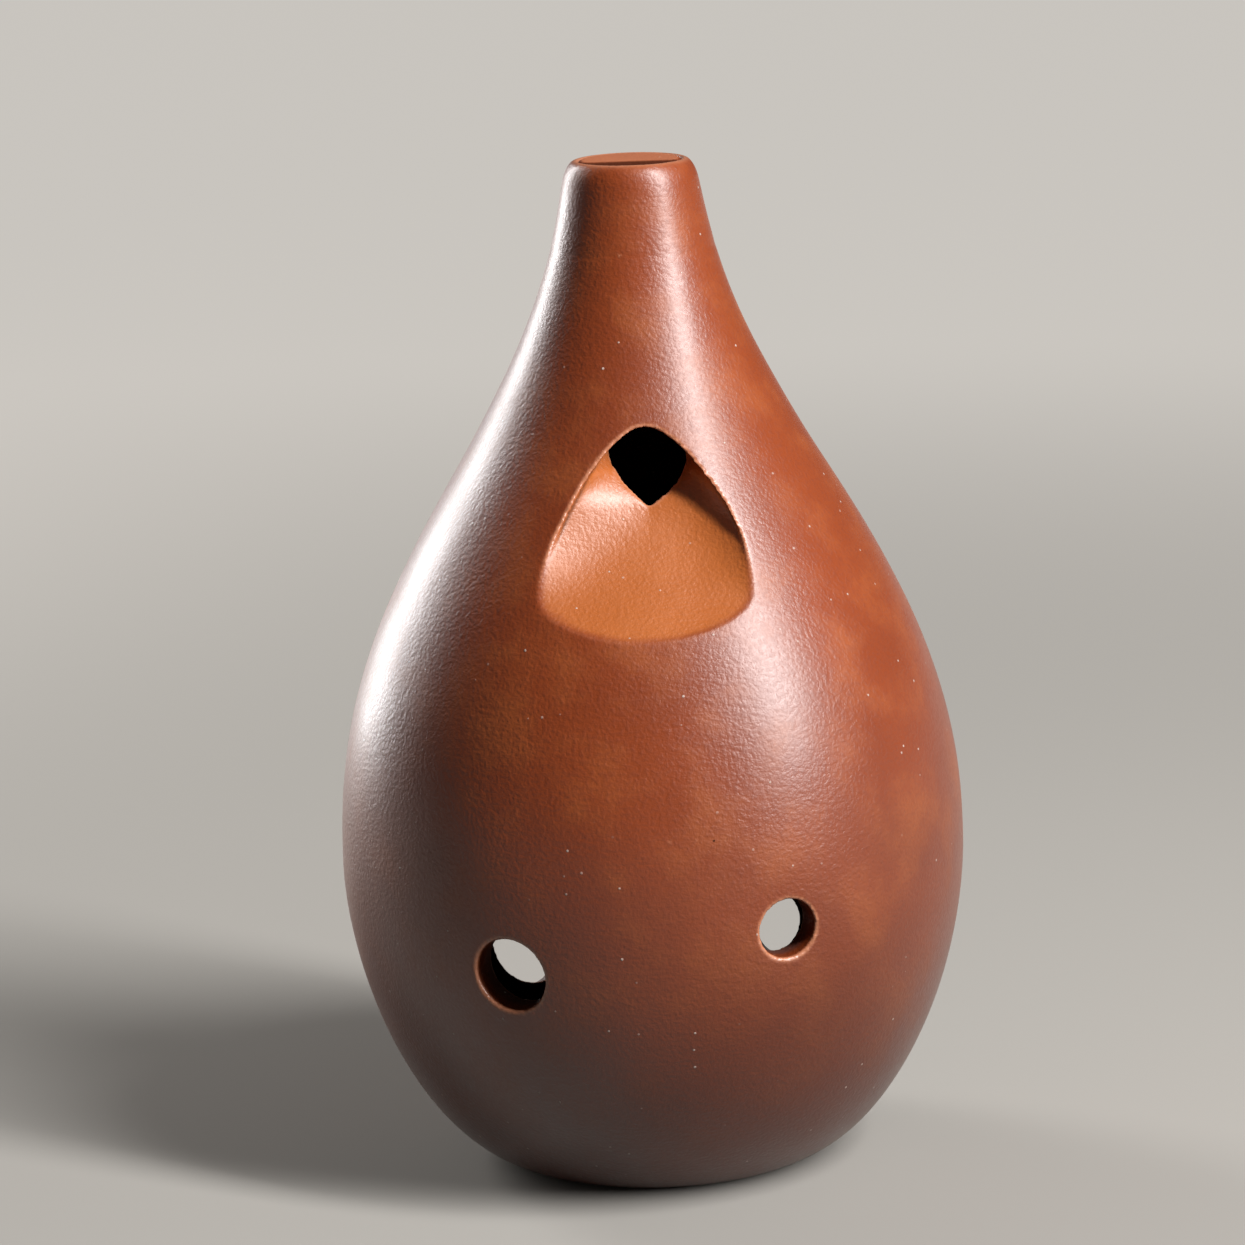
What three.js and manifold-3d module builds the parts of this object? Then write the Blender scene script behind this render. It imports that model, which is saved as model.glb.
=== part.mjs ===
// A whistle-mouthed xun: a hollow, egg-shaped vessel flute of burnished red clay.
// It stands on its foot at the origin, +Z is up and its window faces -Y. Lengths are in millimetres.
import * as THREE from 'three';
import { mergeVertices } from 'three/addons/utils/BufferGeometryUtils.js';
import Module from 'manifold-3d';

// Outer form, from the foot up: each rise is measured from the ring below it
const FOOT_RADIUS = 18.4;
const BELLY_RADIUS = 41.9;
const BELLY_HEIGHT = 42;
const SHOULDER_RADIUS = 24;
const SHOULDER_RISE = 53;
const NECK_RADIUS = 9;
const NECK_RISE = 37;
const LIP_RADIUS = 7;
const LIP_RISE = 3;

// Lean of the wall away from upright, where the shoulder turns into the neck and just under the lip
const SHOULDER_LEAN = THREE.MathUtils.degToRad(31);
const NECK_LEAN = THREE.MathUtils.degToRad(10.8);

// Fullness of each curve, as shares of the height or radius that it spans
const FOOT_ROUNDING_SHARE = 0.54;
const BOWL_FULLNESS_SHARE = 0.43;
const BELLY_FULLNESS_SHARE = 0.415;
const SHOULDER_FULLNESS_SHARE = 0.39;
const NECK_FLARE_SHARE = 0.65;
const NECK_STRAIGHT_SHARE = 0.21;

// Walls and the joints where the clay members are luted together, above the belly and below the neck's top
const WALL = 4.2;
const SHOULDER_WALL = 5.2;
const SHOULDER_WALL_SHARE = 0.6;
const LIP_WALL = 2.4;
const LIP_ROUNDING = 0.4;
const BELLY_JOINT_RISE = 11;
const NECK_JOINT_DROP = 8.5;

// Finger holes: the bore's height at the middle of the wall, and its width
const LARGE_BORE = 9.8;
const LARGE_BORE_HEIGHT = 35;
const SMALL_BORE = 7.8;
const SMALL_BORE_HEIGHT = 40.3;
const LARGE_THUMB_BORE = 12;
const LARGE_THUMB_HEIGHT = 20;
const SMALL_THUMB_BORE = 8.4;
const SMALL_THUMB_HEIGHT = 21.3;

// Window: its outline from the front, the sounding edge and the step of its hood, set out from the shoulder
const WINDOW_BOTTOM_DROP = 18.3;
const WINDOW_WIDEST_DROP = 13;
const WINDOW_TOP_RISE = 7.6;
const WINDOW_HALF_WIDTH = 13.8;
const WINDOW_LEAN = 0.6;
const EDGE_DROP = 2.7;
const HOOD_STEP = 0.8;
const HOOD_LOW_DROP = 11;
const HOOD_FULL_DROP = 3;
const HOOD_OPEN_RISE = 3;
const WINDOW_FOOT_SHARE = 0.55;
const WINDOW_CORNER_SHARE = 0.5;
const WINDOW_SIDE_SHARE = 0.34;
const WINDOW_ARCH_SHARE = 0.34;
const SCOOP_BULGE_SHARE = 0.6;
const SCOOP_CREASE_SHARE = 0.3;
const SCOOP_ROUNDNESS = 3;

// Windway: the channel that the block leaves open in front of it, with the block's low end above the shoulder
const BLOCK_LOW_RISE = 7.3;
const BLOCK_FIT = 0.35;
const BLOCK_TOP_DROP = 0.4;
const WINDWAY_FLOOR_AT_LIP = 2.8;
const WINDWAY_DEPTH_AT_WINDOW = 2.2;
const WINDWAY_HALF_WIDTH_AT_LIP = 6.6;
const WINDWAY_HALF_WIDTH_AT_WINDOW = 4;

// Heights above the foot that follow
const SHOULDER_HEIGHT = BELLY_HEIGHT + SHOULDER_RISE;
const NECK_HEIGHT = SHOULDER_HEIGHT + NECK_RISE;
const HEIGHT = NECK_HEIGHT + LIP_RISE;
const BELLY_JOINT_HEIGHT = BELLY_HEIGHT + BELLY_JOINT_RISE;
const NECK_JOINT_HEIGHT = NECK_HEIGHT - NECK_JOINT_DROP;
const WINDOW_BOTTOM_HEIGHT = SHOULDER_HEIGHT - WINDOW_BOTTOM_DROP;
const WINDOW_WIDEST_HEIGHT = SHOULDER_HEIGHT - WINDOW_WIDEST_DROP;
const WINDOW_TOP_HEIGHT = SHOULDER_HEIGHT + WINDOW_TOP_RISE;
const EDGE_HEIGHT = SHOULDER_HEIGHT - EDGE_DROP;
const HOOD_LOW_HEIGHT = SHOULDER_HEIGHT - HOOD_LOW_DROP;
const HOOD_FULL_HEIGHT = SHOULDER_HEIGHT - HOOD_FULL_DROP;
const HOOD_OPEN_HEIGHT = SHOULDER_HEIGHT + HOOD_OPEN_RISE;
const BLOCK_LOW_HEIGHT = SHOULDER_HEIGHT + BLOCK_LOW_RISE;

// How far a cutter runs past what it cuts
const OVERRUN = 4;

// Fineness of the round forms
const TURN_STEPS = 64;
const CURVE_STEPS = 9;
const BORE_STEPS = 28;
const WINDOW_CORNER_ROWS = 6;
const WINDOW_ARCH_ROWS = 12;
const WINDOW_COLUMNS = 12;

const wasm = await Module();
wasm.setup();

const point = (radius, height) => new THREE.Vector2(radius, height);
const leaning = (lean) => new THREE.Vector2(-Math.sin(lean), Math.cos(lean));

// Solids for the cuts

function toSolid(geometry) {
    geometry.deleteAttribute('normal');
    geometry.deleteAttribute('uv');
    const merged = mergeVertices(geometry);
    return new wasm.Manifold(new wasm.Mesh({
        numProp: 3,
        vertProperties: Float32Array.from(merged.attributes.position.array),
        triVerts: Uint32Array.from(merged.index.array),
    }));
}

function toGeometry(solid) {
    const mesh = solid.getMesh();
    const geometry = new THREE.BufferGeometry();
    geometry.setAttribute('position', new THREE.BufferAttribute(mesh.vertProperties, 3));
    geometry.setIndex(new THREE.BufferAttribute(mesh.triVerts, 1));
    geometry.computeVertexNormals();
    return geometry;
}

const subtractAll = (solid, cutters) => cutters.reduce((left, cutter) => left.subtract(cutter), solid);

// A profile is closed on itself or runs from the axis to the axis, with its points in height order upwards
function turned(profile) {
    return new THREE.LatheGeometry(profile, TURN_STEPS).rotateX(Math.PI / 2);
}

// Sections are closed rings of points from the lowest up, each running anticlockwise seen from above
function lofted(sections) {
    const ringSize = sections[0].length;
    const middles = [sections[0], sections.at(-1)].map((ring) => ring
        .reduce((sum, corner) => sum.add(corner), new THREE.Vector3()).divideScalar(ringSize));
    const points = [...sections.flat(), ...middles];
    const firstMiddle = points.length - 2;
    const lastMiddle = points.length - 1;
    const lastRing = (sections.length - 1) * ringSize;
    const index = [];
    for (let i = 0; i < ringSize; i += 1) {
        const next = (i + 1) % ringSize;
        index.push(firstMiddle, next, i, lastMiddle, lastRing + i, lastRing + next);
        for (let ring = 0; ring < lastRing; ring += ringSize) {
            index.push(ring + i, ring + next, ring + ringSize + next);
            index.push(ring + i, ring + ringSize + next, ring + ringSize + i);
        }
    }
    return new THREE.BufferGeometry().setFromPoints(points).setIndex(index);
}

// Outer and inner outline of the vessel

function outerOutline() {
    const foot = point(FOOT_RADIUS, 0);
    const belly = point(BELLY_RADIUS, BELLY_HEIGHT);
    const shoulder = point(SHOULDER_RADIUS, SHOULDER_HEIGHT);
    const neck = point(NECK_RADIUS, NECK_HEIGHT);
    const bellySpan = SHOULDER_HEIGHT - BELLY_HEIGHT;
    const neckSpan = NECK_HEIGHT - SHOULDER_HEIGHT;
    const shoulderRise = leaning(SHOULDER_LEAN);
    const neckRise = leaning(NECK_LEAN);
    const bowl = new THREE.CubicBezierCurve(
        foot,
        point(FOOT_RADIUS + FOOT_ROUNDING_SHARE * (BELLY_RADIUS - FOOT_RADIUS), 0),
        point(BELLY_RADIUS, BELLY_HEIGHT * (1 - BOWL_FULLNESS_SHARE)),
        belly,
    );
    const upperBody = new THREE.CubicBezierCurve(
        belly,
        point(BELLY_RADIUS, BELLY_HEIGHT + BELLY_FULLNESS_SHARE * bellySpan),
        shoulder.clone().addScaledVector(shoulderRise, -SHOULDER_FULLNESS_SHARE * bellySpan),
        shoulder,
    );
    const neckFlare = new THREE.CubicBezierCurve(
        shoulder,
        shoulder.clone().addScaledVector(shoulderRise, NECK_FLARE_SHARE * neckSpan),
        neck.clone().addScaledVector(neckRise, -NECK_STRAIGHT_SHARE * neckSpan),
        neck,
    );
    return [bowl, upperBody, neckFlare].flatMap((curve, i) => curve.getPoints(CURVE_STEPS).slice(i ? 1 : 0));
}

// The wall is thickest at the shoulder, where the pot was closed, and thins towards the lip
function wallAt(height) {
    const { clamp, lerp, mapLinear } = THREE.MathUtils;
    const closing = lerp(BELLY_JOINT_HEIGHT, SHOULDER_HEIGHT, SHOULDER_WALL_SHARE);
    const gain = clamp(mapLinear(height, BELLY_JOINT_HEIGHT, closing, 0, 1), 0, 1);
    const loss = clamp(mapLinear(height, SHOULDER_HEIGHT, NECK_HEIGHT, 0, 1), 0, 1);
    return lerp(lerp(WALL, SHOULDER_WALL, gain), LIP_WALL, loss);
}

function innerOutline(outer) {
    return outer.map((place, i) => {
        const along = outer[Math.min(i + 1, outer.length - 1)].clone().sub(outer[Math.max(i - 1, 0)]);
        const inwards = (i ? point(-along.y, along.x) : point(0, 1)).normalize();
        return place.clone().addScaledVector(inwards, wallAt(place.y));
    });
}

function radiusAt(outline, height) {
    const above = Math.max(1, outline.findIndex((place) => place.y >= height));
    const [low, high] = [outline[above - 1], outline[above]];
    return THREE.MathUtils.mapLinear(height, low.y, high.y, low.x, high.x);
}

function stretch(outline, lowHeight, highHeight) {
    const between = outline.filter((place) => place.y > lowHeight && place.y < highHeight);
    return [
        point(radiusAt(outline, lowHeight), lowHeight),
        ...between,
        point(radiusAt(outline, highHeight), highHeight),
    ];
}

const outer = outerOutline();
const inner = innerOutline(outer);
const boreRadius = inner.at(-1).x;

// Finger holes: bearing is measured from the front towards +X, and dip is how far the bore points down

function boreCutter({ bearing, height, bore, dip }) {
    const angle = THREE.MathUtils.degToRad(bearing);
    const fall = THREE.MathUtils.degToRad(dip);
    const middle = radiusAt(outer, height) - WALL / 2;
    const outwards = new THREE.Vector3(
        Math.sin(angle) * Math.cos(fall), -Math.cos(angle) * Math.cos(fall), -Math.sin(fall),
    );
    const cutter = new THREE.CylinderGeometry(bore / 2, bore / 2, WALL + 2 * OVERRUN, BORE_STEPS);
    cutter.applyQuaternion(new THREE.Quaternion().setFromUnitVectors(new THREE.Vector3(0, 1, 0), outwards));
    cutter.translate(Math.sin(angle) * middle, -Math.cos(angle) * middle, height);
    return toSolid(cutter);
}

const fingerHoles = [
    { bearing: -27.6, height: LARGE_BORE_HEIGHT, bore: LARGE_BORE, dip: 6 },
    { bearing: 23.8, height: SMALL_BORE_HEIGHT, bore: SMALL_BORE, dip: 3 },
    { bearing: -147.6, height: LARGE_THUMB_HEIGHT, bore: LARGE_THUMB_BORE, dip: 22 },
    { bearing: 150.2, height: SMALL_THUMB_HEIGHT, bore: SMALL_THUMB_BORE, dip: 22 },
];

// Window: the scoop deepens from nothing at its bottom to the whole wall at the sounding edge and beyond

function windowOutline() {
    const tall = WINDOW_TOP_HEIGHT - WINDOW_WIDEST_HEIGHT;
    const low = WINDOW_WIDEST_HEIGHT - WINDOW_BOTTOM_HEIGHT;
    const widest = point(WINDOW_HALF_WIDTH, WINDOW_WIDEST_HEIGHT);
    const corner = new THREE.CubicBezierCurve(
        point(0, WINDOW_BOTTOM_HEIGHT),
        point(WINDOW_HALF_WIDTH * WINDOW_FOOT_SHARE, WINDOW_BOTTOM_HEIGHT),
        point(WINDOW_HALF_WIDTH, WINDOW_WIDEST_HEIGHT - low * WINDOW_CORNER_SHARE),
        widest,
    );
    const arch = new THREE.CubicBezierCurve(
        widest,
        point(WINDOW_HALF_WIDTH, WINDOW_WIDEST_HEIGHT + tall * WINDOW_SIDE_SHARE),
        point(WINDOW_HALF_WIDTH * WINDOW_ARCH_SHARE, WINDOW_TOP_HEIGHT),
        point(0, WINDOW_TOP_HEIGHT),
    );
    const cornerPoints = corner.getPoints(WINDOW_CORNER_ROWS).slice(1);
    const archPoints = arch.getPoints(WINDOW_ARCH_ROWS).slice(1, -1);
    return [...cornerPoints, ...archPoints];
}

// Depth of the scoop down its middle
function middleDepth(height) {
    const through = radiusAt(outer, EDGE_HEIGHT) - radiusAt(inner, EDGE_HEIGHT);
    const rise = (height - WINDOW_BOTTOM_HEIGHT) / (EDGE_HEIGHT - WINDOW_BOTTOM_HEIGHT);
    const past = Math.max(rise - 1, 0);
    const bulge = SCOOP_BULGE_SHARE * (past ? -past : rise * (1 - rise));
    return through * (rise + bulge + past * past);
}

function windowCutter() {
    const columnShares = Array.from({ length: WINDOW_COLUMNS + 1 }, (_, i) => (2 * i) / WINDOW_COLUMNS - 1);
    const sections = windowOutline().map(({ x: halfWidth, y: height }) => {
        const surface = radiusAt(outer, height);
        const midDepth = middleDepth(height);
        const step = HOOD_STEP * THREE.MathUtils.smoothstep(height, HOOD_LOW_HEIGHT, HOOD_FULL_HEIGHT);
        const open = THREE.MathUtils.smoothstep(height, HOOD_OPEN_HEIGHT, WINDOW_TOP_HEIGHT);
        const sideDepth = THREE.MathUtils.lerp(step, midDepth, open);
        const middle = WINDOW_LEAN * THREE.MathUtils.smoothstep(height, WINDOW_WIDEST_HEIGHT, EDGE_HEIGHT);
        const place = (share, depth) => {
            const x = middle + share * halfWidth;
            return new THREE.Vector3(x, depth - Math.sqrt(surface * surface - x * x), height);
        };
        const floorAt = (share) => {
            const crease = SCOOP_CREASE_SHARE * Math.abs(share);
            const fall = crease + (1 - SCOOP_CREASE_SHARE) * Math.abs(share) ** SCOOP_ROUNDNESS;
            return place(share, THREE.MathUtils.lerp(midDepth, sideDepth, fall));
        };
        return [
            ...columnShares.map((share) => place(share, -OVERRUN)),
            ...columnShares.toReversed().map(floorAt),
        ];
    });
    return toSolid(lofted(sections));
}

// Windway: a tapered channel along the front of the block, from the mouth down to the window's hood

function windwayCutter() {
    const exitRadius = radiusAt(inner, BLOCK_LOW_HEIGHT);
    const exitFloor = exitRadius - WINDWAY_DEPTH_AT_WINDOW;
    const floorRun = (exitFloor - WINDWAY_FLOOR_AT_LIP) / (HEIGHT - BLOCK_LOW_HEIGHT);
    const widthRun = (WINDWAY_HALF_WIDTH_AT_LIP - WINDWAY_HALF_WIDTH_AT_WINDOW) / (HEIGHT - BLOCK_LOW_HEIGHT);
    const section = (height) => {
        const drop = HEIGHT - height;
        const floor = WINDWAY_FLOOR_AT_LIP + floorRun * drop;
        const halfWidth = WINDWAY_HALF_WIDTH_AT_LIP - widthRun * drop;
        const front = floor + exitRadius;
        return [
            new THREE.Vector3(-halfWidth, -floor, height),
            new THREE.Vector3(-halfWidth, -front, height),
            new THREE.Vector3(halfWidth, -front, height),
            new THREE.Vector3(halfWidth, -floor, height),
        ];
    };
    return toSolid(lofted([section(BLOCK_LOW_HEIGHT - OVERRUN), section(HEIGHT + OVERRUN)]));
}

// The clay members

function lowerBowl() {
    const outside = stretch(outer, 0, BELLY_JOINT_HEIGHT);
    const inside = stretch(inner, inner[0].y, BELLY_JOINT_HEIGHT).reverse();
    const bowl = turned([point(0, 0), ...outside, ...inside, point(0, inner[0].y)]);
    return toGeometry(subtractAll(toSolid(bowl), fingerHoles.map(boreCutter)));
}

function upperShell() {
    const outside = stretch(outer, BELLY_JOINT_HEIGHT, NECK_JOINT_HEIGHT);
    const inside = stretch(inner, BELLY_JOINT_HEIGHT, NECK_JOINT_HEIGHT).reverse();
    const shell = turned([...outside, ...inside, outside[0]]);
    return toGeometry(subtractAll(toSolid(shell), [windowCutter()]));
}

function lipOutline() {
    const lip = new THREE.QuadraticBezierCurve(
        point(NECK_RADIUS, NECK_HEIGHT),
        point(NECK_RADIUS - (HEIGHT - NECK_HEIGHT) * Math.tan(NECK_LEAN), HEIGHT),
        point(LIP_RADIUS, HEIGHT),
    );
    return lip.getPoints(CURVE_STEPS).slice(1);
}

function mouthpieceCollar() {
    const outside = [...stretch(outer, NECK_JOINT_HEIGHT, NECK_HEIGHT), ...lipOutline()];
    const inside = stretch(inner, NECK_JOINT_HEIGHT, inner.at(-1).y).reverse();
    const mouth = point(boreRadius, HEIGHT - LIP_ROUNDING);
    return turned([...outside, mouth, ...inside, outside[0]]);
}

function windwayBlock() {
    const top = HEIGHT - BLOCK_TOP_DROP;
    const side = stretch(inner, BLOCK_LOW_HEIGHT, inner.at(-1).y).map(({ x, y }) => point(x - BLOCK_FIT, y));
    const topEdge = point(boreRadius - BLOCK_FIT, top);
    const plug = turned([point(0, BLOCK_LOW_HEIGHT), ...side, topEdge, point(0, top)]);
    return toGeometry(subtractAll(toSolid(plug), [windwayCutter()]));
}

// Assembly

const burnishedClay = { color: 0x9a5530, roughness: 0.45, metalness: 0 };
const plainClay = { color: 0x8a4a2a, roughness: 0.75, metalness: 0 };

function member(name, geometry, finish) {
    const mesh = new THREE.Mesh(geometry, new THREE.MeshStandardMaterial(finish));
    mesh.name = name;
    return mesh;
}

const xun = new THREE.Group();
xun.add(
    member('lower_bowl', lowerBowl(), burnishedClay),
    member('upper_shell', upperShell(), burnishedClay),
    member('mouthpiece_collar', mouthpieceCollar(), burnishedClay),
    member('windway_block', windwayBlock(), plainClay),
);

export default xun;
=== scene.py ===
# A whistle-mouthed xun of burnished red clay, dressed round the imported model.
# Lengths are in metres. The foot stands on the origin, +Z is up and the window faces -Y.
import math

import bpy
import numpy as np
from mathutils import Matrix, Vector
from mathutils.geometry import interpolate_bezier


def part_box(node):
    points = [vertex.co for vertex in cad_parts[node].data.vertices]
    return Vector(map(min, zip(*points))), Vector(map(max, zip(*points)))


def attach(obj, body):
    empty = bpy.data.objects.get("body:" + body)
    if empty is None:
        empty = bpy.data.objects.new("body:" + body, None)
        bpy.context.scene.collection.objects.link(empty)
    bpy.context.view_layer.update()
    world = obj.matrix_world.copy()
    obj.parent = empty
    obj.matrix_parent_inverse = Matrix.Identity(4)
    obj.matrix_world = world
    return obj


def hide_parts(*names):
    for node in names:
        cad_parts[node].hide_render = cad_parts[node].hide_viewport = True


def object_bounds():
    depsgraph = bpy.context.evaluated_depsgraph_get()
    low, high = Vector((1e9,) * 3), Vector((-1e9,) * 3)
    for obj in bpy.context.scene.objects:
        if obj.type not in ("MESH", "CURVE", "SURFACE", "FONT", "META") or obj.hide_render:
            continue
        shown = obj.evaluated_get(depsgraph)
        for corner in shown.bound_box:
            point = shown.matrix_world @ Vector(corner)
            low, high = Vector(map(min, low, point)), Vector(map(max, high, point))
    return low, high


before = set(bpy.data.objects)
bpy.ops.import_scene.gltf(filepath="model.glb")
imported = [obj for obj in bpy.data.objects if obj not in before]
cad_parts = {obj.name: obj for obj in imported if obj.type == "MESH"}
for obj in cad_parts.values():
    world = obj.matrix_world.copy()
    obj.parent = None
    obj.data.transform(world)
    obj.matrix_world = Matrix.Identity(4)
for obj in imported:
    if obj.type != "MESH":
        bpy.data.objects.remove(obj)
cad_low, cad_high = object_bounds()
MM = 0.001

# Heights and widths that the solids give
HEIGHT = cad_high.z
BELLY_RADIUS = cad_high.x
BELLY_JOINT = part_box("lower_bowl")[1].z
NECK_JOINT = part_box("upper_shell")[1].z
BLOCK_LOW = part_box("windway_block")[0].z

# Outer form, from the foot up
FOOT_RADIUS = 18.4 * MM
BELLY_HEIGHT = 42 * MM
SHOULDER_RADIUS = 24 * MM
SHOULDER_HEIGHT = 95 * MM
NECK_RADIUS = 9 * MM
NECK_HEIGHT = 132 * MM
LIP_RADIUS = 7 * MM
SHOULDER_LEAN = math.radians(31)
NECK_LEAN = math.radians(10.8)
FOOT_ROUNDING_SHARE = 0.54
BOWL_FULLNESS_SHARE = 0.43
BELLY_FULLNESS_SHARE = 0.415
SHOULDER_FULLNESS_SHARE = 0.39
NECK_FLARE_SHARE = 0.65
NECK_STRAIGHT_SHARE = 0.21
LIP_LEAN_SHARE = 0.6
LIP_UPRIGHT_SHARE = 0.62
LIP_ROLL_SHARE = 0.42

# Wall, thickest at the shoulder where the pot was closed
WALL = 4.2 * MM
SHOULDER_WALL = 5.9 * MM
SHOULDER_WALL_SHARE = 0.6
LIP_WALL = 2.4 * MM
LIP_ROUNDING = 0.45 * MM

# Hand-made unevenness of the skin, and the faint groove where the collar was luted on
SKIN_WAVE = 0.11 * MM
SKIN_WAVE_LENGTH = 19 * MM
GROOVE_DEPTH = 0.06 * MM
GROOVE_WIDTH = 0.5 * MM

# Window
WINDOW_BOTTOM = 77.2 * MM
WINDOW_WIDEST = 82 * MM
WINDOW_TOP = 102.6 * MM
WINDOW_HALF_WIDTH = 13.8 * MM
WINDOW_FOOT_SHARE = 0.52
WINDOW_CORNER_SHARE = 0.5
WINDOW_SIDE_SHARE = 0.34
WINDOW_ARCH_SHARE = 0.34
WINDOW_SHIFT = 0.6 * MM

# Scoop below and beside the sounding edge
EDGE_HEIGHT = 92.3 * MM
EDGE_THICKNESS = 0.5 * MM
EDGE_SHIFT = 0.4 * MM
EDGE_DROP = 6 * MM
SCOOP_BULGE_SHARE = 0.95
SCOOP_OPENING_SHARE = 5
SCOOP_REACH_SHARE = 1.6
SCOOP_EASE = (84 * MM, 94 * MM)
SCOOP_ROUNDNESS_BELOW = {"left": 2.5, "right": 2.6}
SCOOP_ROUNDNESS_ABOVE = {"left": 1.6, "right": 2.6}
CREASE_EASE = (86 * MM, 95 * MM)
CREASE_SHARES = {"left": 0.15, "right": 0.25}
SCOOP_COLUMNS = 141
WINDOW_STEPS = 90
HOOD_STEP = 0.5 * MM
HOOD_LOW = 84 * MM
HOOD_FULL = 92 * MM
HOOD_OPEN = 96.6 * MM
HOOD_GONE = 103 * MM
HOOD_UNDERCUT = 0.3 * MM
HOOD_LIFT = 0.3 * MM

# Finger holes: bearing from the front towards +X and dip below level, in degrees
FINGER_HOLES = [
    {"bearing": -27.6, "height": 35 * MM, "bore": 9.8 * MM, "dip": 6},
    {"bearing": 23.8, "height": 40.3 * MM, "bore": 7.8 * MM, "dip": 3},
    {"bearing": -147.6, "height": 20 * MM, "bore": 12 * MM, "dip": 22},
    {"bearing": 150.2, "height": 21.3 * MM, "bore": 8.4 * MM, "dip": 22},
]
BORE_LIP = 0.7 * MM
DISH_HOLE = FINGER_HOLES[1]
DISH_DEPTH = 0.35 * MM
DISH_RADIUS = 9 * MM
DISH_STEEPNESS = 2

# Windway block
BLOCK_SEAT = 0.12 * MM
BLOCK_TOP_DROP = 0.06 * MM
BLOCK_BEVEL = 0.2 * MM
# Depths below the block's top where the painted shade on its face begins and is full, and the strength
# of that shade and of the painted sheen on its top
BLOCK_SHADE = (0.06 * MM, 0.16 * MM)
BLOCK_SHEEN_AND_SHADE = 0.6
WINDWAY_FLOOR_AT_LIP = 2.8 * MM
WINDWAY_DEPTH_AT_WINDOW = 2.2 * MM
WINDWAY_HALF_WIDTH_AT_LIP = 6.4 * MM
WINDWAY_HALF_WIDTH_AT_WINDOW = 4 * MM

# Marks on the skin: how sharply it bends, per metre, where an edge, lightened as wear and painted
# highlight, or a crease, darkened as painted shade, begins and is full
WORN_AND_HIGHLIGHT_BENDS = (0.15 / MM, 0.9 / MM)
CREASE_BENDS = (0.1 / MM, 0.6 / MM)
BEND_BLURS = 3
SCOOP_FACING = -0.2
FOOT_MARGIN = 1.1

# Fineness
TURN_STEPS = 320
CURVE_STEPS = 50
BORE_STEPS = 96
ROLL_STEPS = 10
VOXEL = 0.3 * MM
SMOOTHINGS = 5
SMOOTHING_FACTOR = 0.5
BODY_TRIANGLES = 370000
WELD = 0.001 * MM
SNAP = VOXEL / 2
JOINT_WELD = SNAP / 3
JOINT_BAND = 2 * VOXEL
OVERRUN = 4 * MM
SHARP_ANGLE = math.radians(60)


# Ways of working

def only(piece):
    """Deselects everything else and makes the piece active."""
    bpy.ops.object.select_all(action="DESELECT")
    piece.select_set(True)
    bpy.context.view_layer.objects.active = piece
    return piece


def edit(piece):
    only(piece)
    bpy.ops.object.mode_set(mode="EDIT")
    bpy.ops.mesh.select_all(action="SELECT")


def done():
    bpy.ops.object.mode_set(mode="OBJECT")


def applied(piece, kind, **settings):
    """Adds a modifier with these settings and applies it."""
    only(piece)
    bpy.ops.object.modifier_add(type=kind)
    modifier = piece.modifiers[-1]
    for name, value in settings.items():
        setattr(modifier, name, value)
    bpy.ops.object.modifier_apply(modifier=modifier.name)
    return piece


def cut(piece, cutter):
    applied(piece, "BOOLEAN", object=cutter, operation="DIFFERENCE", solver="MANIFOLD")
    bpy.data.objects.remove(cutter)


def from_points(name, corners, edges=(), faces=()):
    mesh = bpy.data.meshes.new(name)
    mesh.from_pydata([tuple(corner) for corner in corners], list(edges), list(faces))
    piece = bpy.data.objects.new(name, mesh)
    bpy.context.scene.collection.objects.link(piece)
    return piece


def places(piece):
    """The piece's vertices as an array of x, y, z."""
    flat = np.empty(len(piece.data.vertices) * 3)
    piece.data.vertices.foreach_get("co", flat)
    return flat.reshape(-1, 3)


def move_to(piece, spots):
    piece.data.vertices.foreach_set("co", spots.ravel())
    piece.data.update()


def lerp(a, b, t):
    return a + (b - a) * t


def smoothstep(low, high, x):
    t = np.clip((x - low) / (high - low), 0, 1)
    return t * t * (3 - 2 * t)


def bezier(start, start_handle, end_handle, end, steps=CURVE_STEPS):
    knots = [Vector((p[0], p[1])) for p in (start, start_handle, end_handle, end)]
    return [tuple(p) for p in interpolate_bezier(*knots, steps + 1)]


# Outlines as (radius, height) points

def leaning(lean):
    return Vector((-math.sin(lean), math.cos(lean)))


def outer_outline():
    belly_span = SHOULDER_HEIGHT - BELLY_HEIGHT
    neck_span = NECK_HEIGHT - SHOULDER_HEIGHT
    belly = Vector((BELLY_RADIUS, BELLY_HEIGHT))
    shoulder = Vector((SHOULDER_RADIUS, SHOULDER_HEIGHT))
    neck = Vector((NECK_RADIUS, NECK_HEIGHT))
    bowl = bezier(
        (FOOT_RADIUS, 0),
        (lerp(FOOT_RADIUS, BELLY_RADIUS, FOOT_ROUNDING_SHARE), 0),
        (BELLY_RADIUS, BELLY_HEIGHT * (1 - BOWL_FULLNESS_SHARE)),
        belly,
    )
    upper = bezier(
        belly,
        belly + Vector((0, BELLY_FULLNESS_SHARE * belly_span)),
        shoulder - leaning(SHOULDER_LEAN) * SHOULDER_FULLNESS_SHARE * belly_span,
        shoulder,
    )
    flare = bezier(
        shoulder,
        shoulder + leaning(SHOULDER_LEAN) * NECK_FLARE_SHARE * neck_span,
        neck - leaning(NECK_LEAN) * NECK_STRAIGHT_SHARE * neck_span,
        neck,
    )
    return bowl + upper[1:] + flare[1:]


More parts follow.
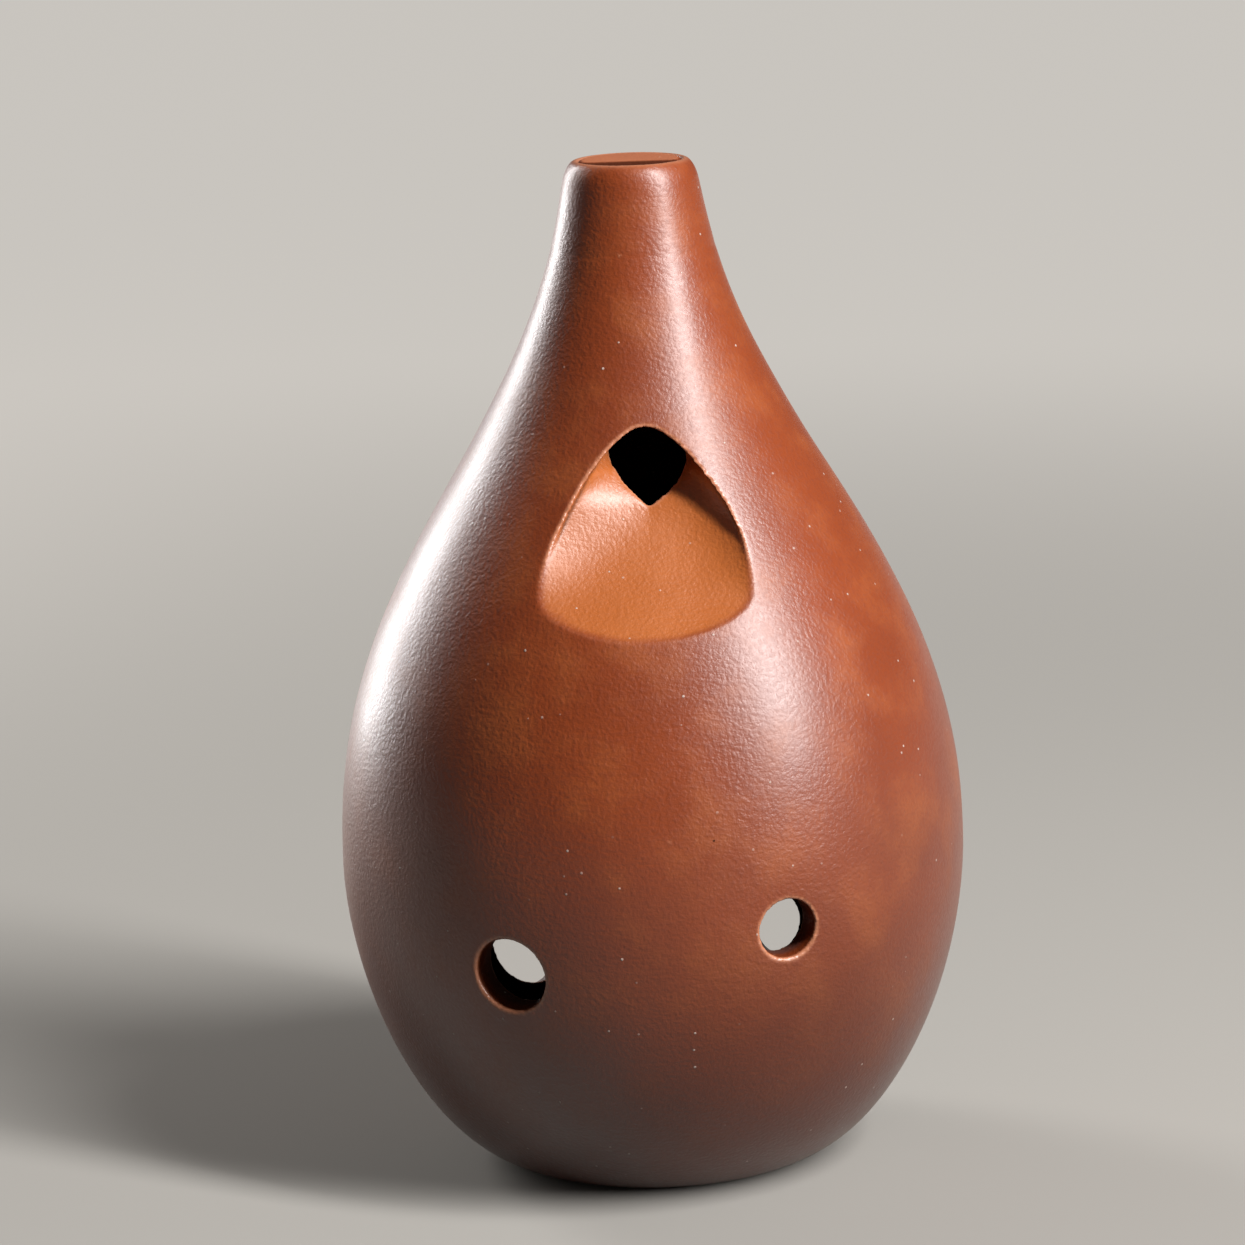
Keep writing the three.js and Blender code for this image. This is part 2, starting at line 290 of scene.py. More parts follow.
def inner_outline(outer):
    full = lerp(BELLY_JOINT, SHOULDER_HEIGHT, SHOULDER_WALL_SHARE)
    heights = [BELLY_JOINT, full, SHOULDER_HEIGHT, NECK_HEIGHT]
    walls = [WALL, SHOULDER_WALL, SHOULDER_WALL, LIP_WALL]
    inner = []
    for i, (radius, height) in enumerate(outer):
        before = outer[max(i - 1, 0)]
        after = outer[min(i + 1, len(outer) - 1)]
        way = Vector((before[1] - after[1], after[0] - before[0])) if i else Vector((0, 1))
        spot = Vector((radius, height)) + way.normalized() * np.interp(height, heights, walls)
        inner.append(tuple(spot))
    return inner


OUTER = outer_outline()
INNER = inner_outline(OUTER)
BORE_RADIUS = INNER[-1][0]


def radius_at(outline, height):
    radii, heights = np.array(outline).T
    return np.interp(height, heights, radii)


def spun(name, outline, steps=TURN_STEPS):
    """Turns an outline that starts and ends on the upright axis into a solid."""
    corners = [(radius, 0, height) for radius, height in outline]
    piece = from_points(name, corners, [(i, i + 1) for i in range(len(corners) - 1)])
    edit(piece)
    bpy.ops.mesh.spin(steps=steps, angle=math.tau, center=(0, 0, 0), axis=(0, 0, 1))
    bpy.ops.mesh.select_all(action="SELECT")
    bpy.ops.mesh.remove_doubles(threshold=WELD)
    bpy.ops.mesh.normals_make_consistent(inside=False)
    done()
    return piece


def ringed(name, rings):
    """Joins closed rings of points into a solid with flat ends."""
    size = len(rings[0])
    corners = [corner for ring in rings for corner in ring]
    faces = [tuple(range(size)), tuple(range(len(corners) - size, len(corners)))]
    for low in range(0, len(corners) - size, size):
        for i in range(size):
            j = (i + 1) % size
            faces.append((low + i, low + j, low + size + j, low + size + i))
    piece = from_points(name, corners, (), faces)
    edit(piece)
    bpy.ops.mesh.quads_convert_to_tris()
    bpy.ops.mesh.normals_make_consistent(inside=False)
    done()
    return piece


# The vessel

def on_skin(bearing, height):
    angle = math.radians(bearing)
    radius = radius_at(OUTER, height)
    return Vector((math.sin(angle) * radius, -math.cos(angle) * radius, height))


def vessel():
    """The hollow pot before anything is cut, with the slight unevenness of handwork in its skin."""
    lip = bezier(
        (NECK_RADIUS, NECK_HEIGHT),
        (
            NECK_RADIUS - (HEIGHT - NECK_HEIGHT) * math.tan(NECK_LEAN) * LIP_LEAN_SHARE,
            lerp(NECK_HEIGHT, HEIGHT, LIP_UPRIGHT_SHARE),
        ),
        (lerp(LIP_RADIUS, NECK_RADIUS, LIP_ROLL_SHARE), HEIGHT),
        (LIP_RADIUS, HEIGHT),
        CURVE_STEPS // 4,
    )
    mouth = (BORE_RADIUS, HEIGHT - LIP_ROUNDING)
    pot = spun("pot", [(0, 0)] + OUTER + lip[1:] + [mouth] + INNER[::-1] + [(0, INNER[0][1])])
    wave = bpy.data.textures.new("handwork", "CLOUDS")
    wave.noise_scale = SKIN_WAVE_LENGTH
    wave.noise_depth = 1
    spots = places(pot)
    free = pot.vertex_groups.new(name="free of foot and lip")
    weights = smoothstep(FOOT_RADIUS / 4, FOOT_RADIUS / 2, spots[:, 2])
    weights *= smoothstep(HEIGHT, NECK_JOINT, spots[:, 2])
    for i, weight in enumerate(weights):
        free.add([i], weight, "REPLACE")
    applied(
        pot, "DISPLACE", texture=wave, texture_coords="LOCAL", strength=2 * SKIN_WAVE,
        mid_level=0.5, vertex_group=free.name,
    )
    spots = places(pot)
    radius = np.hypot(spots[:, 0], spots[:, 1])
    skin = radius > radius_at(OUTER, spots[:, 2]) - WALL / 4
    groove = GROOVE_DEPTH * np.exp(-(((spots[:, 2] - NECK_JOINT) / GROOVE_WIDTH) ** 2))
    from_dish = spots - np.array(on_skin(DISH_HOLE["bearing"], DISH_HOLE["height"]))
    away = np.linalg.norm(from_dish, axis=1) / DISH_RADIUS
    dish = DISH_DEPTH * np.exp(-(away ** 2) * DISH_STEEPNESS)
    share = np.where(skin, 1 - (groove + dish) / np.maximum(radius, WALL), 1)
    spots[:, :2] *= share[:, None]
    move_to(pot, spots)
    return pot


def window_outline():
    corner = bezier(
        (0, WINDOW_BOTTOM),
        (WINDOW_HALF_WIDTH * WINDOW_FOOT_SHARE, WINDOW_BOTTOM),
        (WINDOW_HALF_WIDTH, lerp(WINDOW_WIDEST, WINDOW_BOTTOM, WINDOW_CORNER_SHARE)),
        (WINDOW_HALF_WIDTH, WINDOW_WIDEST),
        WINDOW_STEPS // 2,
    )
    arch = bezier(
        (WINDOW_HALF_WIDTH, WINDOW_WIDEST),
        (WINDOW_HALF_WIDTH, lerp(WINDOW_WIDEST, WINDOW_TOP, WINDOW_SIDE_SHARE)),
        (WINDOW_HALF_WIDTH * WINDOW_ARCH_SHARE, WINDOW_TOP),
        (0, WINDOW_TOP),
        WINDOW_STEPS,
    )
    return corner + arch[1:]


def window_middle(height):
    """The arch leans a little to the right."""
    return WINDOW_SHIFT * smoothstep(WINDOW_WIDEST, EDGE_HEIGHT, height)


def middle_depth(height):
    """Depth of the scoop at its middle: steep at first, gentle at the edge, open above it."""
    through = radius_at(OUTER, EDGE_HEIGHT) - radius_at(INNER, EDGE_HEIGHT) - EDGE_THICKNESS
    rise = (height - WINDOW_BOTTOM) / (EDGE_HEIGHT - WINDOW_BOTTOM)
    past = max(rise - 1, 0)
    bulge = SCOOP_BULGE_SHARE * (-past if past else rise * (1 - rise))
    return through * min(rise + bulge + SCOOP_OPENING_SHARE * past ** 2, SCOOP_REACH_SHARE)


def side_fall(shares, height):
    """How far the floor has risen from the middle, 0, to the rim, 1: a crease in a round cove."""
    falls = []
    for side, sign in (("left", -1), ("right", 1)):
        ease = smoothstep(*SCOOP_EASE, height)
        roundness = lerp(SCOOP_ROUNDNESS_BELOW[side], SCOOP_ROUNDNESS_ABOVE[side], ease)
        crease = CREASE_SHARES[side] * smoothstep(*CREASE_EASE, height)
        out = np.clip(shares * sign, 0, 1)
        falls.append(crease * out + (1 - crease) * out ** roundness)
    return falls[0] + falls[1]


def scoop_cutter():
    """Rings round the scoop: its floor from left to right, then back across in front of the pot."""
    shares = np.linspace(-1, 1, SCOOP_COLUMNS)
    edge_ease = EDGE_THICKNESS / 10
    rings = []
    for half_width, height in window_outline()[1:-1]:
        surface = radius_at(OUTER, height)
        inside = radius_at(INNER, height)
        hood = smoothstep(HOOD_LOW, HOOD_FULL, height)
        step = HOOD_STEP * hood
        mid = middle_depth(height)
        side = np.interp(height, (HOOD_OPEN, HOOD_GONE), (step, mid))
        depth = lerp(mid, side, side_fall(shares, height))
        middle = window_middle(height)
        reach = half_width + HOOD_UNDERCUT * hood
        x = middle + shares * reach + EDGE_SHIFT * (1 - shares ** 2)
        skin = -np.sqrt(surface ** 2 - x ** 2)
        lining = -np.sqrt(inside ** 2 - x ** 2)
        left_over = lining - skin - depth
        through = smoothstep(EDGE_THICKNESS + edge_ease, EDGE_THICKNESS - edge_ease, left_over)
        y = skin + depth + through * EDGE_DROP
        floor = [(px, py, height) for px, py in zip(x, y)]
        rim = -math.sqrt(surface ** 2 - half_width ** 2)
        depths = [rim + min(step, HOOD_LIFT), rim - OVERRUN, rim - 5 * OVERRUN]
        ahead = [(middle + half_width, py, height) for py in depths]
        back = [(middle - half_width, py, height) for py in depths[::-1]]
        rings.append(floor + ahead + back)
    return ringed("scoop", rings)


def bore_cutter(bearing, height, bore, dip):
    """A round bore that opens in a rounded lip at the outer surface."""
    angle = math.radians(bearing)
    fall = math.radians(dip)
    level_share = math.cos(fall)
    outwards = Vector((math.sin(angle) * level_share, -math.cos(angle) * level_share, -math.sin(fall)))
    surface = on_skin(bearing, height)
    level = Vector((surface.x, surface.y, 0)).normalized()
    radius = bore / 2
    far = WALL / 2 + OVERRUN
    roll = [
        (radius + BORE_LIP * (1 - math.cos(turn)), WALL / 2 - BORE_LIP * (1 - math.sin(turn)))
        for turn in np.linspace(0, math.pi / 2, ROLL_STEPS)
    ]
    wide = radius + 2 * BORE_LIP
    outline = [(0, -far), (radius, -far)] + roll + [(wide, WALL / 2 + BORE_LIP), (wide, far), (0, far)]
    cutter = spun("bore", outline, BORE_STEPS)
    turn = Vector((0, 0, 1)).rotation_difference(outwards).to_matrix().to_4x4()
    cutter.data.transform(Matrix.Translation(surface - level * WALL / 2) @ turn)
    return cutter


def ring_at(piece, height):
    """Brings the nearest row of vertices to a joint's height, along the wall, as a clean ring."""
    spots = places(piece)
    x, y, z = spots.T
    radius = np.hypot(x, y)
    outer_shift = radius_at(OUTER, height) - radius_at(OUTER, z)
    inner_shift = radius_at(INNER, height) - radius_at(INNER, z)
    outside = radius > (radius_at(OUTER, z) + radius_at(INNER, z)) / 2
    share = 1 + np.where(outside, outer_shift, inner_shift) / np.maximum(radius, WALL)
    near = np.abs(z - height) < SNAP
    spots[near, :2] *= share[near, None]
    spots[near, 2] = height
    move_to(piece, spots)
    edit(piece)
    bpy.ops.mesh.bisect(plane_co=(0, 0, height), plane_no=(0, 0, 1), threshold=WELD)
    bpy.ops.mesh.remove_doubles(threshold=JOINT_WELD)
    done()


def softened(piece):
    """Melts all edges a little, as a wet sponge does, and thins the mesh where it is smooth."""
    applied(piece, "REMESH", mode="VOXEL", voxel_size=VOXEL)
    applied(piece, "SMOOTH", factor=SMOOTHING_FACTOR, iterations=SMOOTHINGS)
    for joint in (BELLY_JOINT, NECK_JOINT):
        ring_at(piece, joint)
    z = places(piece)[:, 2]
    kept = np.minimum(np.abs(z - BELLY_JOINT), np.abs(z - NECK_JOINT)) < JOINT_BAND
    thinned = piece.vertex_groups.new(name="away from joints")
    thinned.add(np.flatnonzero(~kept).tolist(), 1, "REPLACE")
    triangles = sum(len(face.vertices) - 2 for face in piece.data.polygons)
    applied(piece, "DECIMATE", ratio=min(1, BODY_TRIANGLES / triangles), vertex_group=thinned.name)
    piece.data.materials.clear()
    return piece


def give(piece, name, values):
    """Stores one number for each vertex, for the materials to read."""
    marks = piece.data.attributes.new(name, "FLOAT", "POINT")
    marks.data.foreach_set("value", np.asarray(values, dtype=np.float32))


def mark_wear_and_painted_light(piece):
    """Where the clay was never burnished, darkened deeper in as painted shade; where its edges are
    lightened as wear and painted highlight; and where its creases are darkened as painted shade.
    """
    spots = places(piece)
    x, y, z = spots.T
    normals = np.empty(len(spots) * 3)
    piece.data.vertices.foreach_get("normal", normals)
    normals = normals.reshape(-1, 3)
    radius = np.maximum(np.hypot(x, y), WELD)
    depth = radius_at(OUTER, z) - radius
    facing = (normals[:, 0] * x + normals[:, 1] * y) / radius
    widths, heights = np.array(window_outline()).T
    half_width = np.interp(z, heights, widths, left=0, right=0)
    in_window = (y < 0) & (half_width > 0) & (np.abs(x - window_middle(z)) < half_width + HOOD_UNDERCUT)
    scoop = in_window & (facing > SCOOP_FACING)
    on_lip = (z > NECK_HEIGHT) & (radius > BORE_RADIUS + WELD)
    # Deeper than the bore's lip the clay is unburnished, and its dark colour is painted shade inside
    # the bores and the chamber
    raw_and_shade = smoothstep(2 * BORE_LIP, 4 * BORE_LIP, depth) * ~(scoop | on_lip)
    foot = smoothstep(WALL / 10, 0, z) * smoothstep(FOOT_RADIUS * FOOT_MARGIN, FOOT_RADIUS, radius)
    give(piece, "raw_and_shade", np.maximum(raw_and_shade, foot))
    give(piece, "scoop", in_window * smoothstep(0, BORE_LIP, depth))
    pairs = np.empty(len(piece.data.edges) * 2, dtype=np.int64)
    piece.data.edges.foreach_get("vertices", pairs)
    a, b = pairs.reshape(-1, 2).T
    along = spots[b] - spots[a]
    squares = np.maximum((along ** 2).sum(1), WELD ** 2)
    bend = np.bincount(a, -(along * normals[a]).sum(1) / squares, len(spots))
    bend += np.bincount(b, (along * normals[b]).sum(1) / squares, len(spots))
    count = np.maximum(np.bincount(a, minlength=len(spots)) + np.bincount(b, minlength=len(spots)), 1)
    bend = 2 * bend / count
    for _ in range(BEND_BLURS):
        around = np.bincount(a, bend[b], len(spots)) + np.bincount(b, bend[a], len(spots))
        bend = (bend + around / count) / 2
    # Convex edges are lightened: partly rubbed wear, partly painted highlight on rims and lips
    give(piece, "worn_and_highlight", smoothstep(*WORN_AND_HIGHLIGHT_BENDS, bend))
    # Concave creases are darkened as painted shade
    give(piece, "crease", smoothstep(*CREASE_BENDS, -bend))


def parted(whole, name, low, high):
    """The part of the body between two heights, closed with flat faces."""
    piece = whole.copy()
    piece.data = whole.data.copy()
    piece.name = name
    piece.data.name = name
    bpy.context.scene.collection.objects.link(piece)
    for height, keep_above in ((low, True), (high, False)):
        if height is None:
            continue
        edit(piece)
        bpy.ops.mesh.bisect(
            plane_co=(0, 0, height), plane_no=(0, 0, 1), threshold=WELD, use_fill=True,
            clear_inner=keep_above, clear_outer=not keep_above,
        )
        done()
    only(piece)
    bpy.ops.object.shade_smooth_by_angle(angle=SHARP_ANGLE)
    return piece


def clay_members():
    body = vessel()
    cut(body, scoop_cutter())
    for hole in FINGER_HOLES:
        cut(body, bore_cutter(**hole))
    softened(body)
    mark_wear_and_painted_light(body)
    members = [
        parted(body, "bowl", None, BELLY_JOINT),
        parted(body, "shell", BELLY_JOINT, NECK_JOINT),
        parted(body, "collar", NECK_JOINT, None),
    ]
    bpy.data.objects.remove(body)
    return members


# Windway block

def windway_cutter():
    exit_radius = radius_at(INNER, BLOCK_LOW)
    exit_floor = exit_radius - WINDWAY_DEPTH_AT_WINDOW
    rings = []
    for height in (BLOCK_LOW - OVERRUN, BLOCK_LOW, HEIGHT, HEIGHT + OVERRUN):
        t = (HEIGHT - height) / (HEIGHT - BLOCK_LOW)
        floor = lerp(WINDWAY_FLOOR_AT_LIP, exit_floor, t)
        half = lerp(WINDWAY_HALF_WIDTH_AT_LIP, WINDWAY_HALF_WIDTH_AT_WINDOW, t)
        front = floor + exit_radius
        around = [(-half, -floor), (-half, -front), (half, -front), (half, -floor)]
        rings.append([(x, y, height) for x, y in around])
    return ringed("windway", rings)


def block_member():
    heights = np.linspace(BLOCK_LOW, INNER[-1][1], CURVE_STEPS)
    side = [(radius_at(INNER, height) + BLOCK_SEAT, height) for height in heights]
    top = HEIGHT - BLOCK_TOP_DROP
    seat = BORE_RADIUS + BLOCK_SEAT
    brim = [(seat, top - BLOCK_BEVEL), (seat - BLOCK_BEVEL, top)]
    plug = spun("block", [(0, BLOCK_LOW)] + side + brim + [(0, top)], BORE_STEPS)
    cut(plug, windway_cutter())
    applied(plug, "REMESH", mode="VOXEL", voxel_size=VOXEL)
    applied(plug, "SMOOTH", factor=SMOOTHING_FACTOR, iterations=SMOOTHINGS)
    plug.data.materials.clear()
    only(plug)
    bpy.ops.object.shade_smooth_by_angle(angle=SHARP_ANGLE)
    y, z = places(plug)[:, 1:].T
    low_floor = radius_at(INNER, BLOCK_LOW) - WINDWAY_DEPTH_AT_WINDOW
    floor = -lerp(WINDWAY_FLOOR_AT_LIP, low_floor, (HEIGHT - z) / (HEIGHT - BLOCK_LOW))
    # The block's face below its top, in the windway slit, is darkened as painted shade; its top is
    # lightened as a painted sheen
    below = smoothstep(*BLOCK_SHADE, HEIGHT - z)
    give(plug, "scoop", 0 * z)
    give(plug, "worn_and_highlight", BLOCK_SHEEN_AND_SHADE * (1 - below))
    give(plug, "raw_and_shade", BLOCK_SHEEN_AND_SHADE * below)
    give(plug, "crease", below * smoothstep(floor + 2 * VOXEL, floor + VOXEL, y))
    return plug


# Materials

def plain_colour(red, green, blue):
    """A colour as a paint chart names it, from 0 to 255, in the shader's own linear scale."""
    parts = [value / 255 for value in (red, green, blue)]
    return [p / 12.92 if p <= 0.04045 else ((p + 0.055) / 1.055) ** 2.4 for p in parts] + [1]


# A Mix node's colour sockets share their names with its other sockets, so they go by number
MIX_FIRST_COLOUR = 6
MIX_SECOND_COLOUR = 7
MIX_COLOUR = 2


class Recipe:
    """A material that is put together node by node."""

    def __init__(self, name):
        self.material = bpy.data.materials.new(name)
        self.material.use_nodes = True
        self.tree = self.material.node_tree
        self.shader = self.tree.nodes["Principled BSDF"]
        self.place = self.tree.nodes.new("ShaderNodeTexCoord").outputs["Object"]

    def node(self, kind, inputs=(), **settings):
        made = self.tree.nodes.new("ShaderNode" + kind)
        for name, value in settings.items():
            setattr(made, name, value)
        for name, value in dict(inputs).items():
            self.feed(made.inputs[name], value)
        return made

    def feed(self, socket, value):
        if isinstance(value, bpy.types.NodeSocket):
            self.tree.links.new(value, socket)
        else:
            socket.default_value = value

    def turned(self, stretch, turn):
        made = self.node("Mapping", {"Vector": self.place, "Scale": stretch})
        made.inputs["Rotation"].default_value = [math.radians(t) for t in turn]
        return made.outputs["Vector"]

    def noise(self, length, detail=2.0, roughness=0.5, vector=None):
        """Cloudy noise whose lumps are about this long."""
        return self.node("TexNoise", {
            "Vector": vector or self.place, "Scale": 1 / length, "Detail": detail,
            "Roughness": roughness,
        }).outputs["Fac"]

    def cells(self, length):
        return self.node("TexVoronoi", {"Vector": self.place, "Scale": 1 / length})

    def ramp(self, value, low, high, start=0.0, end=1.0):
        """Follows a value smoothly from low to high and gives start to end."""
        return self.node("MapRange", {
            "Value": value, "From Min": low, "From Max": high, "To Min": start, "To Max": end,
        }, interpolation_type="SMOOTHSTEP").outputs["Result"]

    def math(self, operation, a, b=0.0):
        made = self.node("Math", operation=operation)
        self.feed(made.inputs[0], a)
        self.feed(made.inputs[1], b)
        return made.outputs[0]

    def mix(self, amount, a, b):
        made = self.node("Mix", data_type="RGBA")
        self.feed(made.inputs["Factor"], amount)
        self.feed(made.inputs[MIX_FIRST_COLOUR], a)
        self.feed(made.inputs[MIX_SECOND_COLOUR], b)
        return made.outputs[MIX_COLOUR]

    def mark(self, name):
        return self.node("Attribute", attribute_name=name).outputs["Fac"]

    def bump(self, height, depth, under=None):
        made = self.node("Bump", {"Height": height, "Distance": depth, "Strength": 1.0})
        if under:
            self.tree.links.new(under, made.inputs["Normal"])
        return made.outputs["Normal"]

    def finish(self, colour, roughness, normal, coat, mirror):
        self.feed(self.shader.inputs["Base Color"], colour)
        self.feed(self.shader.inputs["Roughness"], roughness)
        self.tree.links.new(normal, self.shader.inputs["Normal"])
        self.shader.inputs["Specular IOR Level"].default_value = mirror
        self.shader.inputs["Coat Weight"].default_value = coat
        self.shader.inputs["Coat Roughness"].default_value = COAT_ROUGHNESS
        return self.material


RED_CLAY = plain_colour(144, 62, 22)
ORANGE_CLAY = plain_colour(200, 112, 48)
DARK_CLAY = plain_colour(104, 38, 13)
# Pale colour of edges: rubbed wear and painted highlight
WORN_CLAY_AND_HIGHLIGHT = plain_colour(212, 140, 104)
# Unburnished clay, dark as painted shade inside the bores and chamber
RAW_CLAY_AND_SHADE = plain_colour(74, 34, 20)
# Darkening towards the foot: kiln smoke and painted shade
SMOKE_AND_SHADE_CLAY = plain_colour(54, 17, 6)
# Painted shade in creases and the windway slit
CREASE_SHADE = plain_colour(48, 24, 16)
DUST = plain_colour(214, 196, 184)

# Sizes in the clay's colour and relief. A speck's sizes are shares of the spacing.
CLOUD_LENGTH = 38 * MM
PATCH_LENGTH = 9 * MM
PATCH_DEPTH = 0.08 * MM
GRAIN_LENGTH = 0.5 * MM
STROKE_LENGTH = 0.6 * MM
STROKE_STRETCH = 0.2
STROKE_TILT = 28
RELIEF_DEPTH = 0.13 * MM
SPECK_SPACING = 2.2 * MM
SPECK_SIZES = (0.05, 0.1)
SPECK_CHANCES = (0.5, 0.95)
SPECK_DEPTH = 0.05 * MM
# Height band and unevenness of the darkening towards the foot, partly kiln smoke and partly painted
# shade
SMOKE_AND_SHADE_UNEVENNESS = 24 * MM
SMOKE_AND_SHADE_LOW = 17 * MM
SMOKE_AND_SHADE_HIGH = 76 * MM
COAT_ROUGHNESS = 0.34

# Floor and backdrop, and the distances in metres over which one becomes the other
FLOOR_SEEN = plain_colour(168, 164, 158)
FLOOR_UNSEEN = plain_colour(44, 38, 33)
BACKDROP = plain_colour(200, 196, 190)
FLOOR_SIZE = 8
FLOOR_FADE = (0.2, 0.7)
FLOOR_ROUGHNESS = 0.9
ROOM_LIGHT = 0.08


def burnished_clay(name, gloss=0.43, coat=0.6, mirror=0.5):
    """Red clay, rubbed with a pebble before firing and then handled for years, with painted shade in
    its bores and creases and, beside kiln smoke, towards its foot, and painted highlights on its edges.
    """
    r = Recipe(name)
    clouds = r.noise(CLOUD_LENGTH, detail=3)
    patches = r.noise(PATCH_LENGTH, detail=4, roughness=0.6)
    grain = r.noise(GRAIN_LENGTH)
    along = r.turned(stretch=(STROKE_STRETCH, 1, 1), turn=(0, STROKE_TILT, 0))
    stroke = r.noise(STROKE_LENGTH, vector=along)

    # The clay's own colours, and a darkening towards the foot that is partly kiln smoke and partly
    # painted shade on the lower body
    colour = r.mix(r.ramp(clouds, 0.3, 0.6, start=0.6), DARK_CLAY, RED_CLAY)
    colour = r.mix(r.ramp(patches, 0.42, 0.75, end=0.22), colour, ORANGE_CLAY)
    height = r.node("SeparateXYZ", {0: r.place}).outputs["Z"]
    smoke_and_shade = r.math("ADD", height, r.math("MULTIPLY", clouds, SMOKE_AND_SHADE_UNEVENNESS))
    colour = r.mix(r.ramp(smoke_and_shade, SMOKE_AND_SHADE_LOW, SMOKE_AND_SHADE_HIGH, start=0.85, end=0), colour, SMOKE_AND_SHADE_CLAY)
    colour = r.mix(r.ramp(grain, 0.4, 0.75, end=0.25), colour, DARK_CLAY)

    # What the marks on the mesh tell, each mixed in by its share
    raw_and_shade = r.mark("raw_and_shade")
    worn_and_highlight = r.mark("worn_and_highlight")
    crease = r.mark("crease")
    scoop = r.mark("scoop")
    colour = r.mix(r.math("MULTIPLY", scoop, 0.6), colour, ORANGE_CLAY)
    # Unburnished clay, dark as painted shade in the bores, the chamber and the windway block's face
    colour = r.mix(r.math("MULTIPLY", raw_and_shade, 0.85), colour, RAW_CLAY_AND_SHADE)
    # Edges lightened as rubbed wear and painted highlight, and the block's top as a painted sheen
    colour = r.mix(r.math("MULTIPLY", worn_and_highlight, 0.75), colour, WORN_CLAY_AND_HIGHLIGHT)
    # Creases and the windway slit darkened as painted shade
    colour = r.mix(r.math("MULTIPLY", crease, 0.7), colour, CREASE_SHADE)

    # Specks of pale dust, at some of the cells' centres
    specks = r.cells(SPECK_SPACING)
    near = r.ramp(specks.outputs["Distance"], *SPECK_SIZES, start=1, end=0)
    luck = r.node("SeparateColor", {"Color": specks.outputs["Color"]}).outputs["Red"]
    chosen = r.ramp(luck, *SPECK_CHANCES)
    speck = r.math("MULTIPLY", near, chosen)
    colour = r.mix(r.math("MULTIPLY", speck, 0.7), colour, DUST)

    # Shine, duller on raw clay and a little brighter on worn edges
    roughness = r.ramp(patches, 0.35, 0.7, gloss - 0.05, gloss + 0.05)
    roughness = r.math("ADD", roughness, r.ramp(grain, 0.35, 0.65, -0.03, 0.05))
    roughness = r.math("ADD", roughness, r.math("MULTIPLY", raw_and_shade, 0.35))
    roughness = r.math("SUBTRACT", roughness, r.math("MULTIPLY", worn_and_highlight, 0.1))

    # Relief of the patches, the grain with the burnisher's strokes, and the dust
    relief = r.math("ADD", r.math("MULTIPLY", grain, 0.75), r.math("MULTIPLY", stroke, 0.45))
    normal = r.bump(patches, PATCH_DEPTH)
    normal = r.bump(relief, RELIEF_DEPTH, normal)
    normal = r.bump(speck, SPECK_DEPTH, normal)
    return r.finish(colour, roughness, normal, coat, mirror)


# The object

bowl, shell, collar = clay_members()
block = block_member()
clay = burnished_clay("burnished red clay")
block_clay = burnished_clay("smoothed red clay", gloss=0.62, coat=0.0, mirror=0.1)
for piece, node, finish in (
    (bowl, "lower_bowl", clay),
    (shell, "upper_shell", clay),
    (collar, "mouthpiece_collar", clay),
    (block, "windway_block", block_clay),
):
    piece.data.materials.append(finish)
    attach(piece, "root")
    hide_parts(node)


# Camera at the photograph's place

FOCAL_PIXELS = 4790.57
PHOTO_PIXELS = 1245
SENSOR_WIDTH = 36
CAMERA_PLACE = Vector((-3.067, -626.88, 209.75)) * MM
CAMERA_PITCH = 12.332
CAMERA_ROLL = 2


def photo_camera():
    data = bpy.data.cameras.new("camera")
    data.sensor_width = SENSOR_WIDTH
    data.lens = FOCAL_PIXELS / PHOTO_PIXELS * SENSOR_WIDTH
    camera = bpy.data.objects.new("camera", data)
    bpy.context.scene.collection.objects.link(camera)
    pitch = Matrix.Rotation(math.radians(90 - CAMERA_PITCH), 4, "X")
    roll = Matrix.Rotation(math.radians(-CAMERA_ROLL), 4, "Z")
    camera.matrix_world = Matrix.Translation(CAMERA_PLACE) @ pitch @ roll
    bpy.context.scene.camera = camera


# Soft studio light and a pale floor

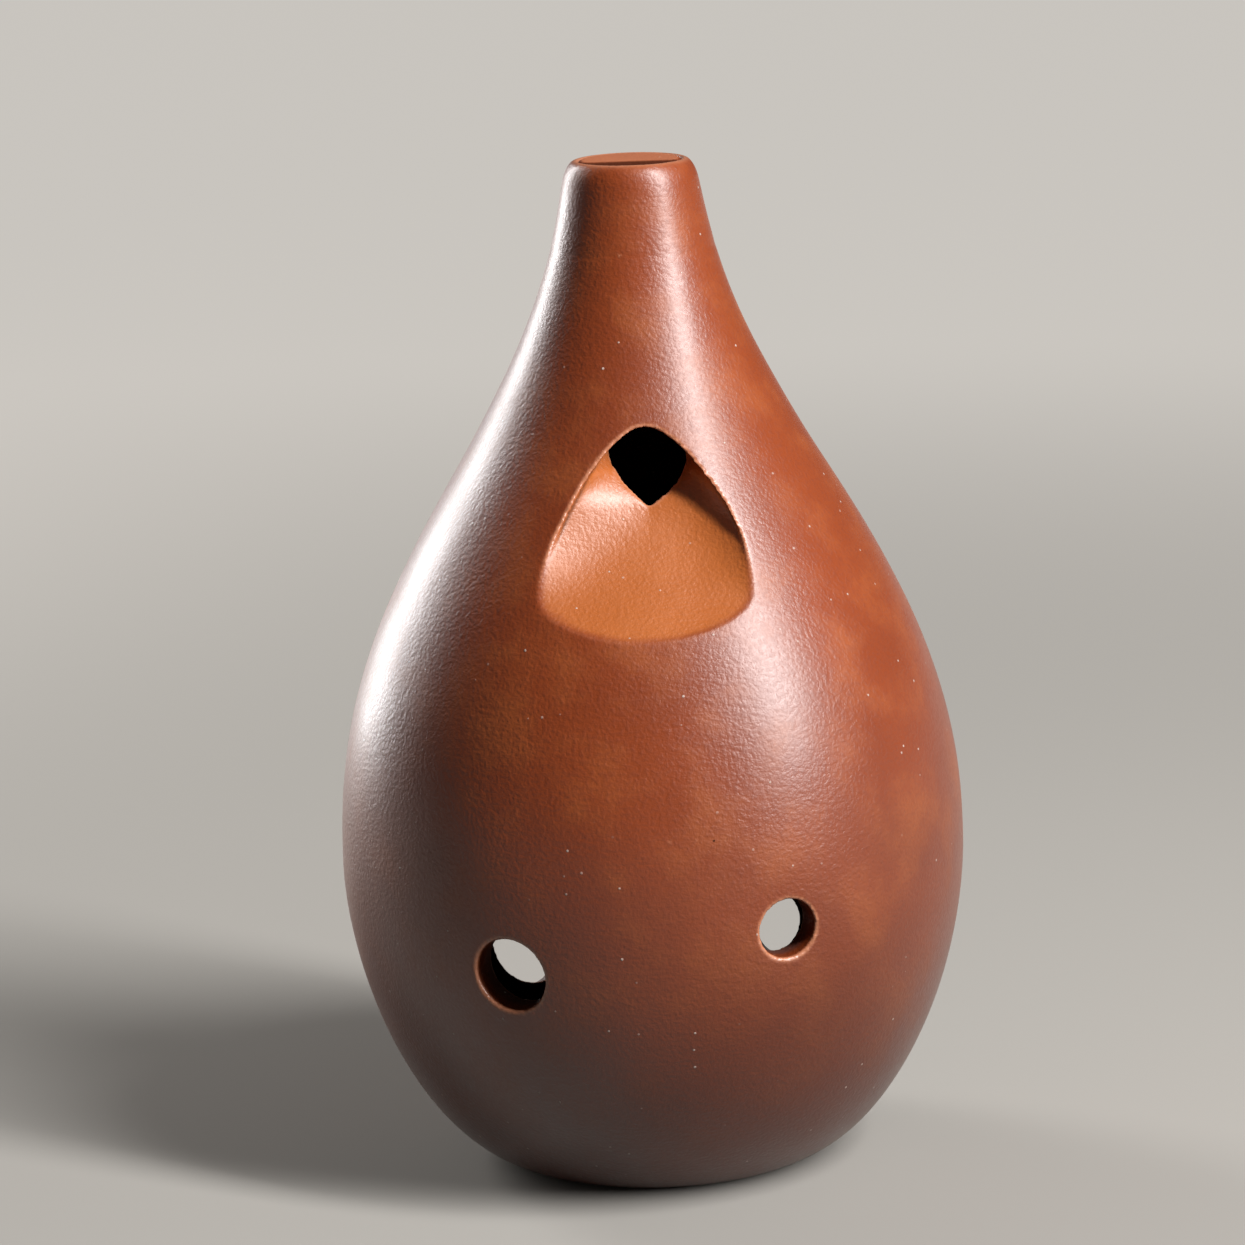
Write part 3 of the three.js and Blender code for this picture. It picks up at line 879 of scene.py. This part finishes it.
def softbox(name, bearing, elevation, distance, width, height, power):
    """A lamp that faces the object's middle: bearing and elevation in degrees, power in watts."""
    data = bpy.data.lights.new(name, "AREA")
    data.shape = "RECTANGLE"
    data.size = width
    data.size_y = height
    data.energy = power
    lamp = bpy.data.objects.new(name, data)
    bpy.context.scene.collection.objects.link(lamp)
    around, up = math.radians(bearing), math.radians(elevation)
    way = Vector((math.sin(around) * math.cos(up), -math.cos(around) * math.cos(up), math.sin(up)))
    lamp.location = Vector((0, 0, HEIGHT / 2)) + way * distance
    lamp.rotation_euler = way.to_track_quat("Z", "Y").to_euler()
    lamp.visible_camera = False


def pale_floor():
    """Pale wherever it is seen, with little bounce onto the clay, as on the photograph's dark table."""
    r = Recipe("pale floor")
    path = r.node("LightPath").outputs
    seen = r.math("MAXIMUM", path["Is Camera Ray"], path["Is Glossy Ray"])
    seen = r.math("MAXIMUM", seen, path["Is Transmission Ray"])
    away = r.node("VectorMath", {0: r.place}, operation="LENGTH").outputs["Value"]
    far = r.math("MULTIPLY", r.ramp(away, *FLOOR_FADE), seen)
    colour = r.mix(seen, FLOOR_UNSEEN, FLOOR_SEEN)
    r.feed(r.shader.inputs["Base Color"], r.mix(far, colour, FLOOR_UNSEEN))
    r.shader.inputs["Roughness"].default_value = FLOOR_ROUGHNESS
    r.shader.inputs["Specular IOR Level"].default_value = 0
    r.feed(r.shader.inputs["Emission Color"], BACKDROP)
    r.feed(r.shader.inputs["Emission Strength"], far)
    return r.material


def studio():
    softbox("key", bearing=55, elevation=35, distance=1, width=0.14, height=0.9, power=19.5)
    softbox("side strip", bearing=-136, elevation=13, distance=0.8, width=0.2, height=0.62, power=5.4)
    world = bpy.data.worlds.new("soft room")
    world.use_nodes = True
    background = world.node_tree.nodes["Background"]
    background.inputs["Color"].default_value = (1, 1, 1, 1)
    background.inputs["Strength"].default_value = ROOM_LIGHT
    bpy.context.scene.world = world
    bpy.ops.object.select_all(action="DESELECT")
    bpy.ops.mesh.primitive_plane_add(size=FLOOR_SIZE, location=(0, 0, 0))
    floor = bpy.context.active_object
    floor.name = "floor"
    floor.data.materials.append(pale_floor())


photo_camera()
studio()
bpy.context.scene.view_settings.view_transform = "Standard"
